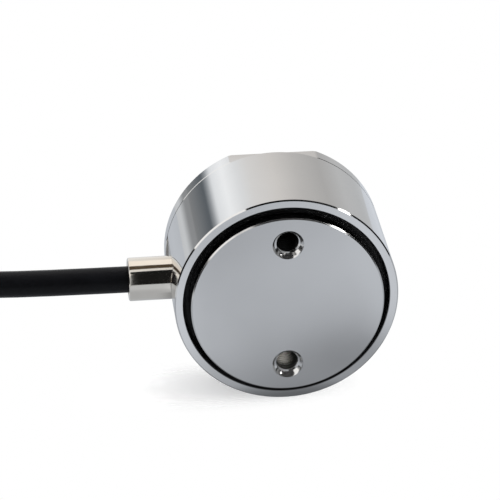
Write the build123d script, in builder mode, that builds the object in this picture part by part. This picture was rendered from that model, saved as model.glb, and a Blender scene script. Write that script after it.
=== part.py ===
from build123d import *
import os
from math import cos, radians, sin, tan

os.makedirs("parts", exist_ok=True)

# All sizes are in millimetres. The cell stands on its base boss at z = 0,
# its cable leaves towards +X and its load button points to +Z.

# Body
body_d = 50.0
body_height = 30.0
edge_break = 0.3
flange_height = 3.8
flange_flat_depth = 2.1
sleeve_lift = 2.0
sleeve_wall = 1.9
weld_groove = 0.15

# Base boss with its two tapped holes and the groove for the seal
boss_gap = 1.6
boss_height = 9.5
mount_spacing = 30.0
tap_drill_d = 5.0
tap_mouth_d = 7.0
tap_depth = 8.0
seal_section = 2.6
seal_height = 6.2
seal_groove_depth = 0.9
seal_groove_slack = 0.1
seal_play = 0.03

# Gauged column, web and load button
column_d = 24.0
column_across_flats = 20.0
web_thickness = 2.0
web_inset = 4.1
spigot_height = 3.0
relief_depth = 1.0
button_d = 15.0
button_rise = 3.0
button_crown_r = 40.0

# Foil gauges and their solder tabs
gauge_width = 7.0
gauge_height = 9.0
gauge_thickness = 0.12
gauge_above_boss = 3.0
tab_size = 1.6
tab_thickness = 0.3
tab_below_gauge = 1.0

# Bridge board round the foot of the column
board_to_column = 2.5
board_to_sleeve = 1.35
board_thickness = 1.0
board_pad_d = 3.0
board_pad_height = 1.0
board_pad_count = 4
resistor_size = (3.2, 1.6, 0.7)
resistor_angles = (130.0, 180.0, 230.0)

# Cable fitting
fitting_above_boss = 6.5
seat_depth = 0.6
seat_below_fitting = 5.6
ferrule_d = 9.8
ferrule_length = 9.9
ferrule_spigot_d = 8.0
ferrule_inside = 1.5
ferrule_break = 0.35
bush_wall = 0.7
bush_recess = 0.6
clip_width = 2.0
clip_wall = 1.0
clip_gap_to_ferrule = 0.2

# Cable and the wires inside it
cable_d = 6.0
jacket_inside_wall = 4.1
wire_d = 1.2
wire_pitch = 1.4
wire_landing_pitch = 3.4
wire_landing_inset = 4.15
wires_below_axis = 0.8
wire_straight = 1.4
wire_drop = 1.8
lead_d = 0.5
lead_straight = 1.4
lead_sag = 0.6
lead_drop = 1.2
lead_foot = 0.4
lead_landing = 1.0

# Put-away hank: a stack of long loops, two wraps wide
hank_wraps = 2
hank_layers = 4
hank_fold_r = 18.0
hank_straight = 58.0
hank_start = 100.0
hank_middle_y = -2.0
tie_width = 4.0
tie_thickness = 1.2
tie_inner_corner = 0.4

# Stripped far end, lying in the last open wrap of the hank
end_sleeve_d = 6.6
end_sleeve_length = 14.0
end_sleeve_taper = 1.0
end_wire_length = 26.0
end_wire_fan = 1.7
end_wire_bends = (0.3, 0.7)
end_tip_length = 6.0
end_tip_d = 0.8
screen_d = 1.5

body_r = body_d / 2
seam = body_height - flange_height
sleeve_r = body_r - sleeve_wall
boss_r = sleeve_r - boss_gap
flat_from_axis = body_r - flange_flat_depth
column_r = column_d / 2
web_r = sleeve_r - web_inset
gauge_mid = boss_height + gauge_above_boss + gauge_height / 2
board_inner_r = column_r + board_to_column
board_outer_r = sleeve_r - board_to_sleeve
board_base = boss_height + board_pad_height
board_top = board_base + board_thickness
fitting_height = boss_height + fitting_above_boss
seat_from_axis = body_r - seat_depth
cable_r = cable_d / 2
ferrule_bore_r = cable_r + bush_wall
ferrule_mouth = seat_from_axis + ferrule_length
jacket_start = sleeve_r - jacket_inside_wall
wire_landing_r = board_outer_r - wire_landing_inset

# The route of the free cable: straight out, down to the floor, then into the hank
cable_route = [
    (jacket_start, 0.0, fitting_height),
    (46.0, 0.0, fitting_height),
    (73.0, 0.9, fitting_height - 0.2),
    (88.0, 6.8, 11.2),
    (101.8, 12.9, 5.4),
    (111.5, 17.2, 3.4),
]


def finish(part, label):
    """Label one piece and write it to its own STEP file."""
    part.label = label
    export_step(part, f"parts/{label}.step")


def bend_radii(route):
    """One radius for each corner of a route: 0.45 of its shorter run over tan(half turn)."""
    points = [Vector(*p) for p in route]
    radii = []
    for before, corner, after in zip(points, points[1:], points[2:]):
        arrive = corner - before
        leave = after - corner
        half_turn = radians(arrive.get_angle(leave)) / 2
        radii.append(0.45 * min(arrive.length, leave.length) / tan(half_turn))
    return radii


def round_wire(route, diameter):
    """A round wire or cable along straight runs joined by tangent arcs."""
    with BuildPart() as wire:
        with BuildLine():
            if len(route) == 2:
                path = Line(*route)
            else:
                path = FilletPolyline(*route, radius=bend_radii(route))
        with BuildSketch(Plane(origin=path @ 0, z_dir=path % 0)):
            Circle(diameter / 2)
        sweep(path=path)
    return wire.part


# Spring element: base boss, gauged column, web, welded flange and load button in one piece
recess = body_height - relief_depth
web_under = recess - web_thickness
groove_r = boss_r - seal_groove_depth
groove_half = seal_section / 2 + seal_groove_slack
button_top = body_height + button_rise
crown_drop = button_crown_r - (button_crown_r**2 - (button_d / 2) ** 2) ** 0.5

with BuildPart() as spring_element:
    with BuildSketch(Plane.XZ):
        with BuildLine():
            Polyline(
                (0, button_top),
                (0, 0),
                (boss_r - edge_break, 0),
                (boss_r, edge_break),
                (boss_r, seal_height - groove_half),
                (groove_r, seal_height - groove_half),
                (groove_r, seal_height + groove_half),
                (boss_r, seal_height + groove_half),
                (boss_r, boss_height),
                (column_r, boss_height),
                (column_r, web_under),
                (web_r, web_under),
                (web_r, seam - spigot_height),
                (sleeve_r, seam - spigot_height),
                (sleeve_r, seam),
                (body_r - weld_groove, seam),
                (body_r, seam + weld_groove),
                (body_r, body_height - edge_break),
                (body_r - edge_break, body_height),
                (web_r, body_height),
                (web_r, recess),
                (button_d / 2, recess),
                (button_d / 2, button_top - crown_drop),
            )
            ThreePointArc(
                (button_d / 2, button_top - crown_drop),
                (
                    button_d / 4,
                    button_top - button_crown_r + (button_crown_r**2 - (button_d / 4) ** 2) ** 0.5,
                ),
                (0, button_top),
            )
        make_face()
    revolve(axis=Axis.Z)
    # Flats on the column for the gauges
    with BuildSketch(Plane.XY.offset(boss_height)):
        Circle(column_r + 1)
        Rectangle(column_across_flats, column_across_flats, mode=Mode.SUBTRACT)
    extrude(amount=web_under - boss_height, mode=Mode.SUBTRACT)
    # Orientation flat on the flange
    with BuildSketch(Plane.XY.offset(seam - spigot_height)):
        with Locations((0, flat_from_axis + body_r)):
            Rectangle(2 * body_d, body_d)
    extrude(amount=body_height, mode=Mode.SUBTRACT)
    # Two tapped holes in the base
    with Locations(Plane.XY.rotated((180, 0, 0))):
        with GridLocations(0, mount_spacing, 1, 2):
            CounterSinkHole(
                radius=tap_drill_d / 2,
                counter_sink_radius=tap_mouth_d / 2,
                depth=tap_depth,
                counter_sink_angle=90,
            )
finish(spring_element.part, "spring_element")

# Housing sleeve: welded to the flange, hanging clear of the base boss
with BuildPart() as housing_sleeve:
    with BuildSketch(Plane.XY.offset(sleeve_lift)):
        Circle(body_r)
        Circle(sleeve_r, mode=Mode.SUBTRACT)
    extrude(amount=seam - sleeve_lift)
    outer_edges = housing_sleeve.edges().filter_by(
        lambda e: e.geom_type == GeomType.CIRCLE and abs(e.radius - body_r) < 1e-3
    )
    chamfer(outer_edges.sort_by(Axis.Z)[0], edge_break)
    chamfer(outer_edges.sort_by(Axis.Z)[-1], weld_groove)
    # Flat seat for the cable fitting, open towards the seam
    seat_bottom = fitting_height - seat_below_fitting
    with BuildSketch(Plane.XY.offset(seat_bottom)):
        with Locations((seat_from_axis + body_r / 2, 0)):
            Rectangle(body_r, body_d)
    extrude(amount=seam - seat_bottom, mode=Mode.SUBTRACT)
    # Bore for the fitting
    with BuildSketch(Plane.YZ.offset(sleeve_r / 2)):
        with Locations((0, fitting_height)):
            Circle(ferrule_spigot_d / 2)
    extrude(amount=body_r, mode=Mode.SUBTRACT)
finish(housing_sleeve.part, "housing_sleeve")

# Seal ring between the boss and the sleeve
seal_mid_r = (groove_r + sleeve_r) / 2
seal_r = (sleeve_r - groove_r) / 2 - seal_play
with BuildPart() as seal_ring:
    with BuildSketch(Plane.XZ):
        with Locations((seal_mid_r, seal_height)):
            Circle(seal_r)
    revolve(axis=Axis.Z)
finish(seal_ring.part, "seal_ring")

# Four foil gauges on the column's flats, with a pair of solder tabs under each
flat_r = column_across_flats / 2
tab_mid = gauge_mid - gauge_height / 2 - tab_below_gauge - tab_size / 2
for index in range(4):
    turn = radians(90.0 * index)
    face = Plane(
        origin=(flat_r * cos(turn), flat_r * sin(turn), 0),
        x_dir=(-sin(turn), cos(turn), 0),
        z_dir=(cos(turn), sin(turn), 0),
    )
    with BuildPart() as strain_gauge:
        with BuildSketch(face):
            with Locations((0, gauge_mid)):
                Rectangle(gauge_width, gauge_height)
        extrude(amount=gauge_thickness)
    finish(strain_gauge.part, f"strain_gauge_{index + 1}")
    with BuildPart() as gauge_tabs:
        with BuildSketch(face):
            with Locations((-tab_size, tab_mid), (tab_size, tab_mid)):
                Rectangle(tab_size, tab_size)
        extrude(amount=tab_thickness)
    finish(gauge_tabs.part, f"gauge_tabs_{index + 1}")

# Bridge board on four pads
with BuildPart() as bridge_board:
    with BuildSketch(Plane.XY.offset(board_base)):
        Circle(board_outer_r)
        Circle(board_inner_r, mode=Mode.SUBTRACT)
    extrude(amount=board_thickness)
finish(bridge_board.part, "bridge_board")

pad_ring_r = (board_inner_r + board_outer_r) / 2
for index in range(board_pad_count):
    with BuildPart() as board_pad:
        with BuildSketch(Plane.XY.offset(boss_height)):
            with PolarLocations(pad_ring_r, 1, start_angle=45.0 + index * 360 / board_pad_count):
                Circle(board_pad_d / 2)
        extrude(amount=board_pad_height)
    finish(board_pad.part, f"board_pad_{index + 1}")

for index, angle in enumerate(resistor_angles):
    with BuildPart() as trim_resistor:
        with BuildSketch(Plane.XY.offset(board_top)):
            with PolarLocations(pad_ring_r, 1, start_angle=angle):
                Rectangle(resistor_size[1], resistor_size[0])
        extrude(amount=resistor_size[2])
    finish(trim_resistor.part, f"trim_resistor_{index + 1}")

# Wire pairs from the gauge tabs down to the board
lead_out = flat_r + tab_thickness + lead_d / 2
lead_end_r = board_inner_r + lead_landing
for index in range(4):
    turn = radians(90.0 * index)
    pair = []
    for side in (-tab_size, tab_size):
        points = [
            (lead_out, side, tab_mid),
            (lead_out + lead_straight, side, tab_mid - lead_sag),
            (lead_end_r, side, board_top + lead_drop),
            (lead_end_r + lead_foot, side, board_top),
        ]
        turned = [
            (x * cos(turn) - y * sin(turn), x * sin(turn) + y * cos(turn), z) for x, y, z in points
        ]
        pair.append(round_wire(turned, lead_d))
    finish(Compound(children=pair), f"gauge_leads_{index + 1}")

# Nickel-plated ferrule: a plain barrel on the seat with a spigot through the wall
with BuildPart() as cable_ferrule:
    with BuildSketch(Plane.YZ.offset(seat_from_axis)):
        with Locations((0, fitting_height)):
            Circle(ferrule_d / 2)
    extrude(amount=ferrule_length)
    mouth_edge = cable_ferrule.edges().sort_by(Axis.X)[-1]
    chamfer(mouth_edge, ferrule_break)
    with BuildSketch(Plane.YZ.offset(seat_from_axis)):
        with Locations((0, fitting_height)):
            Circle(ferrule_spigot_d / 2)
    extrude(amount=sleeve_r - ferrule_inside - seat_from_axis)
    with BuildSketch(Plane.YZ):
        with Locations((0, fitting_height)):
            Circle(ferrule_bore_r)
    extrude(amount=2 * body_r, mode=Mode.SUBTRACT)
finish(cable_ferrule.part, "cable_ferrule")

ferrule_back = sleeve_r - ferrule_inside
with BuildPart() as cable_bush:
    with BuildSketch(Plane.YZ.offset(ferrule_back)):
        with Locations((0, fitting_height)):
            Circle(ferrule_bore_r)
            Circle(cable_r, mode=Mode.SUBTRACT)
    extrude(amount=ferrule_mouth - bush_recess - ferrule_back)
finish(cable_bush.part, "cable_bush")

# Clip ring behind the ferrule, which keeps the cable from being pulled out
clip_front = ferrule_back - clip_gap_to_ferrule
with BuildPart() as cable_clip:
    with BuildSketch(Plane.YZ.offset(clip_front)):
        with Locations((0, fitting_height)):
            Circle(cable_r + clip_wall)
            Circle(cable_r, mode=Mode.SUBTRACT)
    extrude(amount=-clip_width)
finish(cable_clip.part, "cable_clip")

# Four wires fan out of the cable's inner end and drop to the board
wire_names = ("red", "black", "green", "white")
wire_places = (-1.5, -0.5, 0.5, 1.5)
for name, place in zip(wire_names, wire_places):
    exit_y = place * wire_pitch
    land_y = place * wire_landing_pitch
    land_x = (wire_landing_r**2 - land_y**2) ** 0.5
    inner = [
        (jacket_start, exit_y, fitting_height - wires_below_axis),
        (jacket_start - wire_straight, exit_y, fitting_height - wires_below_axis),
        (land_x, land_y, board_top + wire_drop),
        (land_x, land_y, board_top),
    ]
    finish(round_wire(inner, wire_d), f"inner_wire_{name}")

# Free cable, from its inner end to the hank
print("cable radii", [round(r, 1) for r in bend_radii(cable_route)])
cable = round_wire(cable_route, cable_d)
finish(cable, "cable")

# Hank: the closed outer shape of all its loops
hank_r = hank_fold_r + (hank_wraps - 0.5) * cable_d
hank_hole_r = hank_fold_r - cable_r
hank_height = hank_layers * cable_d
hank_mid_x = hank_start + hank_r + hank_straight / 2
hank_soft_edge = cable_r - 0.2
tie_inner_w = hank_wraps * cable_d
tie_x = (hank_mid_x - hank_straight / 4, hank_mid_x + hank_straight / 4)
with BuildPart() as cable_hank:
    with BuildSketch():
        with Locations((hank_mid_x, hank_middle_y)):
            SlotCenterToCenter(hank_straight, 2 * hank_r)
            SlotCenterToCenter(hank_straight, 2 * hank_hole_r, mode=Mode.SUBTRACT)
    extrude(amount=hank_height)
    fillet(cable_hank.faces().filter_by(Axis.Z).edges(), hank_soft_edge)
    # The last wrap stops short, so its lane is open along the far side
    lane_bottom = hank_height - cable_d
    with BuildSketch(Plane.XY.offset(lane_bottom)):
        with Locations((hank_mid_x + hank_r / 2, hank_middle_y + hank_r / 2)):
            Rectangle(hank_straight + hank_r, hank_r)
        with Locations((hank_mid_x, hank_middle_y)):
            SlotCenterToCenter(hank_straight, 2 * (hank_r - cable_d), mode=Mode.SUBTRACT)
    extrude(amount=cable_d, mode=Mode.SUBTRACT)
    # Shallow passages under the hank for its ties
    with BuildSketch(Plane.XY):
        with Locations(*[(x, hank_middle_y - hank_r) for x in tie_x]):
            Rectangle(tie_width, 2 * (tie_inner_w + tie_thickness))
    extrude(amount=tie_thickness, mode=Mode.SUBTRACT)
finish(cable_hank.part, "cable_hank")

# Two ties, each a flat band round one side of the hank
tie_mid_y = hank_middle_y - hank_r + tie_inner_w / 2
for index, x in enumerate(tie_x):
    with BuildPart() as hank_tie:
        with BuildSketch(Plane.YZ.offset(x - tie_width / 2)):
            with Locations((tie_mid_y, (hank_height + tie_thickness) / 2)):
                RectangleRounded(
                    tie_inner_w + 2 * tie_thickness,
                    hank_height + tie_thickness,
                    cable_r,
                )
            with Locations((tie_mid_y, (hank_height + tie_thickness) / 2)):
                RectangleRounded(
                    tie_inner_w,
                    hank_height - tie_thickness,
                    tie_inner_corner,
                    mode=Mode.SUBTRACT,
                )
        extrude(amount=tie_width)
    finish(hank_tie.part, f"hank_tie_{index + 1}")

# Shrink sleeve over the end of the jacket, in the open lane
end_x = hank_mid_x - hank_straight / 2
end_y = hank_middle_y + (hank_r - cable_d) + end_sleeve_d / 2
end_z = lane_bottom + end_sleeve_d / 2
with BuildPart() as end_sleeve:
    with BuildSketch(Plane.YZ.offset(end_x)):
        with Locations((end_y, end_z)):
            Circle(end_sleeve_d / 2)
    extrude(amount=end_sleeve_length)
    chamfer(end_sleeve.edges().sort_by(Axis.X)[-1], end_sleeve_taper)
finish(end_sleeve.part, "end_sleeve")

# Four stripped wires with tinned tips, and the twisted screen lying on them
wires_x = end_x + end_sleeve_length
wire_floor = lane_bottom + wire_d / 2
for name, place in zip(wire_names, wire_places):
    near_y = end_y + place * wire_d
    far_y = end_y + place * end_wire_fan
    bare = [
        (wires_x, near_y, end_z),
        (wires_x + end_wire_bends[0] * end_wire_length, near_y, end_z - 0.3),
        (wires_x + end_wire_bends[1] * end_wire_length, far_y, wire_floor + 0.3),
        (wires_x + end_wire_length, far_y, wire_floor),
    ]
    finish(round_wire(bare, wire_d), f"end_wire_{name}")
    tip = [bare[-1], (wires_x + end_wire_length + end_tip_length, far_y, wire_floor)]
    finish(round_wire(tip, end_tip_d), f"end_tip_{name}")

screen_floor = lane_bottom + wire_d + screen_d / 2
screen = [
    (wires_x, end_y, end_z + (wire_d + screen_d) / 2 + 0.1),
    (wires_x + end_wire_bends[0] * end_wire_length, end_y, end_z + (wire_d + screen_d) / 2),
    (wires_x + end_wire_bends[1] * end_wire_length, end_y + 0.6, screen_floor + 0.5),
    (wires_x + end_wire_length, end_y + 0.2, screen_floor),
]
finish(round_wire(screen, screen_d), "end_screen")
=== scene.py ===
import math

import bmesh
import bpy
from mathutils import Matrix, Vector


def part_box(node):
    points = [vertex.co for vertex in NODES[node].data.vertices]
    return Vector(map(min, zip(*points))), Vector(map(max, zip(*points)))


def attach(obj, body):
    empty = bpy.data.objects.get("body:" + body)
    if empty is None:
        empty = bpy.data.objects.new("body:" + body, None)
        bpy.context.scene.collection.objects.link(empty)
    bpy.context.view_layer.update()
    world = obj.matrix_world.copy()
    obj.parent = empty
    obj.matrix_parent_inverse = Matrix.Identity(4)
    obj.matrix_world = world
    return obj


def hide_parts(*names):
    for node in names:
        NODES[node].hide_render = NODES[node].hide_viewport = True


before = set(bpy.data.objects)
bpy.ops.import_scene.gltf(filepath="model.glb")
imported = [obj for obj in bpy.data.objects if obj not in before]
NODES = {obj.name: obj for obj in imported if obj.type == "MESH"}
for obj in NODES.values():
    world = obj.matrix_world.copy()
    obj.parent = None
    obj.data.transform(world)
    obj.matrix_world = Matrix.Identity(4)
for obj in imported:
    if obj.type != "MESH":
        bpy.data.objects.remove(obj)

bl_info = {
    "name": "Button Load Cell",
    "version": (1, 0, 0),
    "blender": (4, 5, 0),
    "location": "View3D > Sidebar > Load Cell",
    "description": "Builds a button load cell with its cable, its finishes and a plain studio",
    "category": "Object",
}

MM = 0.001
TOUCH = 1e-6
CUT_TOUCH = 1e-7
FULL_TURN = 2 * math.pi
X_AXIS, Z_AXIS = (1, 0, 0), (0, 0, 1)
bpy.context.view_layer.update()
WIRE_COLOURS = {
    "red": (0.45, 0.02, 0.02),
    "black": (0.015, 0.015, 0.016),
    "green": (0.02, 0.22, 0.06),
    "white": (0.7, 0.69, 0.66),
}


# Sizes and colours that can be changed in the panel

class CellSizes(bpy.types.PropertyGroup):
    """Sizes of the load cell's own pieces"""

    body_diameter: bpy.props.FloatProperty(
        name="Body diameter",
        description="Outer diameter of the barrel and of the flange",
        default=0.050,
        unit="LENGTH",
    )
    seam_height: bpy.props.FloatProperty(
        name="Seam height",
        description="Height of the weld seam between the barrel and the flange",
        default=0.0262,
        unit="LENGTH",
    )
    rim_height: bpy.props.FloatProperty(
        name="Rim height",
        description="Height of the barrel's lower rim above the mounting face",
        default=0.0020,
        unit="LENGTH",
    )
    barrel_bore: bpy.props.FloatProperty(
        name="Barrel bore",
        description="Inner diameter of the barrel",
        default=0.0462,
        unit="LENGTH",
    )
    boss_diameter: bpy.props.FloatProperty(
        name="Boss diameter",
        description="Diameter of the base boss with the tapped holes",
        default=0.0430,
        unit="LENGTH",
    )
    edge_break: bpy.props.FloatProperty(
        name="Edge break",
        description="Size of the small chamfers on the turned edges",
        default=0.0003,
        unit="LENGTH",
    )
    hole_spacing: bpy.props.FloatProperty(
        name="Hole spacing",
        description="Distance between the two tapped holes",
        default=0.0300,
        unit="LENGTH",
    )
    thread_diameter: bpy.props.FloatProperty(
        name="Thread diameter",
        description="Major diameter of the threads in the base",
        default=0.0060,
        unit="LENGTH",
    )
    thread_pitch: bpy.props.FloatProperty(
        name="Thread pitch",
        description="Pitch of the threads in the base",
        default=0.0010,
        unit="LENGTH",
    )
    cable_diameter: bpy.props.FloatProperty(
        name="Cable diameter",
        description="Diameter of the cable's jacket",
        default=0.0060,
        unit="LENGTH",
    )


class CellFinish(bpy.types.PropertyGroup):
    """Colours and gloss of the load cell's finishes"""

    steel_colour: bpy.props.FloatVectorProperty(
        name="Steel",
        description="Colour of the stainless steel",
        default=(0.62, 0.615, 0.61),
        subtype="COLOR",
        min=0.0,
        max=1.0,
    )
    barrel_roughness: bpy.props.FloatProperty(
        name="Barrel roughness",
        description="Roughness of the polished barrel",
        default=0.07,
        min=0.0,
        max=1.0,
        subtype="FACTOR",
    )
    face_roughness: bpy.props.FloatProperty(
        name="Face roughness",
        description="Roughness of the fine-ground base",
        default=0.17,
        min=0.0,
        max=1.0,
        subtype="FACTOR",
    )
    nickel_colour: bpy.props.FloatVectorProperty(
        name="Nickel",
        description="Colour of the plated ferrule",
        default=(0.72, 0.68, 0.62),
        subtype="COLOR",
        min=0.0,
        max=1.0,
    )
    jacket_colour: bpy.props.FloatVectorProperty(
        name="Jacket",
        description="Colour of the cable's jacket",
        default=(0.0016, 0.0018, 0.0028),
        subtype="COLOR",
        min=0.0,
        max=1.0,
    )
    lamp_level: bpy.props.FloatProperty(
        name="Lamp level",
        description="Brightness of the soft lamps",
        default=1.0,
        min=0.0,
        max=10.0,
    )


# Node helpers

def new_material(name):
    mat = bpy.data.materials.new(name)
    mat.use_nodes = True
    mat.node_tree.nodes.clear()
    return mat, mat.node_tree


def add_node(tree, kind, **values):
    """Adds a shader node. A value with in_ before its name goes to that input."""
    node = tree.nodes.new("ShaderNode" + kind)
    for key, value in values.items():
        if key.startswith("in_"):
            feed(tree, node.inputs[key[3:].replace("_", " ")], value)
        else:
            setattr(node, key, value)
    return node


def feed(tree, target, value):
    """Links a socket to an input, or gives the input a number or a colour."""
    if hasattr(value, "links"):
        tree.links.new(value, target)
    elif target.type == "RGBA":
        target.default_value = (*value, 1)
    else:
        target.default_value = value


def show(tree, shader, kind="Material"):
    """Connects the last shader to the output of a material or a world."""
    add_node(tree, "Output" + kind, in_Surface=shader)


def object_coords(tree, scale=(1, 1, 1)):
    place = add_node(tree, "TexCoord").outputs["Object"]
    return add_node(tree, "Mapping", in_Scale=scale, in_Vector=place).outputs["Vector"]


def split_place(tree, place):
    return tuple(add_node(tree, "SeparateXYZ", in_Vector=place).outputs)


def distance_to(tree, place, centre):
    node = add_node(tree, "VectorMath", operation="DISTANCE")
    node.inputs[1].default_value = centre
    tree.links.new(place, node.inputs[0])
    return node.outputs["Value"]


def calc(tree, operation, *values):
    """One Math node on sockets or numbers."""
    node = add_node(tree, "Math", operation=operation)
    for target, value in zip(node.inputs, values):
        feed(tree, target, value)
    return node.outputs[0]


def product(tree, first, *others):
    for other in others:
        first = calc(tree, "MULTIPLY", first, other)
    return first


def mixed(tree, kind, share, first, second):
    """Goes from the first value to the second as the share goes from 0 to 1."""
    node = add_node(tree, "Mix", data_type=kind)
    for name, value in (("Factor", share), ("A", first), ("B", second)):
        feed(tree, node.inputs[name], value)
    return node.outputs["Result"]


def noise(tree, scale, detail=3.0, stretch=(1, 1, 1)):
    place = object_coords(tree, stretch)
    node = add_node(tree, "TexNoise", in_Scale=scale, in_Detail=detail, in_Vector=place)
    return node.outputs["Fac"]


def spread(tree, source, low, high, start=0.3, end=0.7, kind="LINEAR"):
    """Maps the range from start to end onto the one from low to high."""
    limits = {"in_From_Min": start, "in_From_Max": end, "in_To_Min": low, "in_To_Max": high}
    node = add_node(tree, "MapRange", interpolation_type=kind, in_Value=source, **limits)
    return node.outputs["Result"]


def smooth_range(tree, source, start, end, low=0.0, high=1.0):
    return spread(tree, source, low, high, start, end, "SMOOTHSTEP")


def ramp(tree, source, stops):
    """Colour ramp along the source. A stop is a place and a colour."""
    node = add_node(tree, "ValToRGB", in_Fac=source)
    elements = node.color_ramp.elements
    while len(elements) < len(stops):
        elements.new(0.5)
    for element, (place, colour) in zip(elements, stops):
        element.position = place
        element.color = (*colour, 1)
    return node.outputs["Color"]


def tint(tree, source, dark, light, start=0.3, end=0.7):
    return ramp(tree, source, ((start, dark), (end, light)))


def bump(tree, height, strength, distance):
    node = add_node(tree, "Bump", in_Strength=strength, in_Distance=distance, in_Height=height)
    return node.outputs["Normal"]


def finish_surface(tree, colour, roughness, normal, **values):
    shader = add_node(tree, "BsdfPrincipled", in_Base_Color=colour, in_Normal=normal, **values)
    feed(tree, shader.inputs["Roughness"], roughness)
    show(tree, shader.outputs["BSDF"])


def clouded(name, cloud, shades, roughness, relief, marks=None, **values):
    """Finish with a cloud in its colour and gloss, and with relief from it or from marks."""
    mat, tree = new_material(name)
    shade = noise(tree, *cloud)
    height = noise(tree, *marks) if marks else shade
    base = tint(tree, shade, *shades)
    if isinstance(roughness, tuple):
        roughness = spread(tree, shade, *roughness)
    finish_surface(tree, base, roughness, bump(tree, height, *relief), **values)
    return mat


def scaled(colour, *factors):
    """The colour times each factor."""
    return [tuple(min(1.0, c * factor) for c in colour) for factor in factors]


# Finishes

def polished_steel(finish):
    """Turned and polished side of the barrel and flange, with very fine turning marks."""
    return clouded(
        "polished_steel",
        (60.0, 2.0),
        scaled(finish.steel_colour, 0.97, 1.02),
        (finish.barrel_roughness * 0.8, finish.barrel_roughness * 1.2),
        (0.06, 0.00002),
        marks=(900.0, 2.0, (0.02, 0.02, 1.0)),
        in_Metallic=1.0,
    )


def ground_steel(finish, name="ground_steel", level=1.0):
    """Fine-ground mounting faces: softer reflections and a faint mottle."""
    return clouded(
        name,
        (45.0, 4.0),
        scaled(finish.steel_colour, 0.93 * level, level),
        (finish.face_roughness * 0.85, finish.face_roughness * 1.2),
        (0.04, 0.00002),
        marks=(2500.0, 2.0),
        in_Metallic=1.0,
    )


def cut_steel(finish):
    """Milled seats, left as cut."""
    return clouded(
        "cut_steel",
        (1600.0, 2.0, (1.0, 0.05, 1.0)),
        scaled(finish.steel_colour, 0.86, 0.96),
        (0.18, 0.26),
        (0.06, 0.00002),
        in_Metallic=1.0,
    )


def hole_steel(finish):
    """Tapped holes: steel at the mouth; deeper in, painted shade: near-black in the +Y hole, and
    in the -Y hole a painted light patch, pale towards +X and deeper down, dark towards -X.
    """
    mat, tree = new_material("hole_steel")
    x, y, z = split_place(tree, object_coords(tree))
    deep = spread(tree, z, 0.0, 1.0, 1.6 * MM, 2.6 * MM)
    far_hole = smooth_range(tree, y, -1.0 * MM, 1.0 * MM)
    # Painted light on the -Y hole's deep wall: the film colour is pale towards +X and deeper down,
    # dark towards -X
    across = smooth_range(tree, x, -2.1 * MM, 0.3 * MM)
    inward = smooth_range(tree, z, 3.4 * MM, 6.5 * MM, 0.08, 1.0)
    painted_light_mask = product(tree, across, inward)
    film = tint(tree, painted_light_mask, (0.012, 0.012, 0.011), (0.51, 0.49, 0.46), 0.0, 1.0)
    # Painted shade: deeper in, the +Y hole goes near-black
    painted_bore_shade = mixed(tree, "RGBA", far_hole, film, (0.004, 0.004, 0.004))
    base = mixed(tree, "RGBA", deep, scaled(finish.steel_colour, 1.05)[0], painted_bore_shade)
    ring_width = 0.25 * MM
    rings = calc(tree, "PINGPONG", z, ring_width)
    turns = spread(tree, rings, 0.0, 1.0, 0.0, ring_width)
    finish_surface(
        tree,
        base,
        spread(tree, deep, 0.14, 0.45, 0.0, 1.0),
        bump(tree, product(tree, turns, deep), 0.5, 0.0001),
        in_Metallic=spread(tree, deep, 0.9, 0.0, 0.0, 1.0),
        in_Specular_IOR_Level=0.2,
    )
    return mat


def nickel_plate(finish):
    """Bright plated ferrule with fine turning marks round it."""
    return clouded(
        "nickel_plate",
        (300.0, 3.0),
        scaled(finish.nickel_colour, 0.96, 1.0),
        (0.07, 0.12),
        (0.08, 0.00002),
        marks=(1200.0, 2.0, (1.0, 0.02, 0.02)),
        in_Metallic=1.0,
    )


def black_rubber():
    """Matt seal and bush."""
    shades = ((0.008, 0.008, 0.009), (0.022, 0.022, 0.023))
    return clouded("black_rubber", (900.0, 4.0), shades, (0.6, 0.8), (0.25, 0.00005))


def cable_jacket(finish):
    """Soft, slightly bluish black jacket with a fine matt skin."""
    return clouded(
        "cable_jacket",
        (120.0, 3.0),
        scaled(finish.jacket_colour, 0.8, 1.3),
        (0.38, 0.48),
        (0.12, 0.00004),
        marks=(2200.0, 3.0),
        in_Specular_IOR_Level=0.12,
    )


def shrink_sleeve():
    """Shrunk-on sleeve over the end of the jacket."""
    cloud = (500.0, 3.0, (0.4, 1.0, 1.0))
    shades = ((0.012, 0.012, 0.013), (0.024, 0.024, 0.026))
    return clouded("shrink_sleeve", cloud, shades, (0.35, 0.5), (0.35, 0.0001))


def wire_plastic(name, colour):
    """Coloured insulation of one wire."""
    shades = scaled(colour, 0.85, 1.05)
    return clouded(name, (400.0, 3.0), shades, (0.32, 0.45), (0.08, 0.00004))


def tinned_copper():
    """Tinned strands and solder."""
    shades = ((0.55, 0.55, 0.56), (0.78, 0.78, 0.79))
    relief = (0.2, 0.00004)
    return clouded("tinned_copper", (1500.0, 3.0), shades, (0.2, 0.4), relief, in_Metallic=1.0)


def tie_nylon():
    """Black nylon of the cable ties."""
    shades = ((0.014, 0.014, 0.015), (0.03, 0.03, 0.031))
    return clouded("tie_nylon", (600.0, 3.0), shades, (0.3, 0.42), (0.12, 0.00005))


def gauge_film():
    """Amber carrier film with the fine lines of the measuring grid."""
    mat, tree = new_material("gauge_film")
    place = object_coords(tree, (1, 1, 0.02))
    wave = add_node(tree, "TexWave", wave_type="BANDS", in_Scale=900.0, in_Vector=place)
    wave.bands_direction = "DIAGONAL"
    lines = wave.outputs["Fac"]
    base = tint(tree, lines, (0.45, 0.24, 0.06), (0.75, 0.48, 0.18), 0.4, 0.6)
    finish_surface(tree, base, 0.3, bump(tree, lines, 0.1, 0.00003))
    return mat


def solder_mask():
    """Green board with a faint weave under its mask."""
    shades = ((0.012, 0.10, 0.035), (0.02, 0.16, 0.06))
    return clouded("solder_mask", (1400.0, 2.0), shades, 0.28, (0.1, 0.00003))


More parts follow.
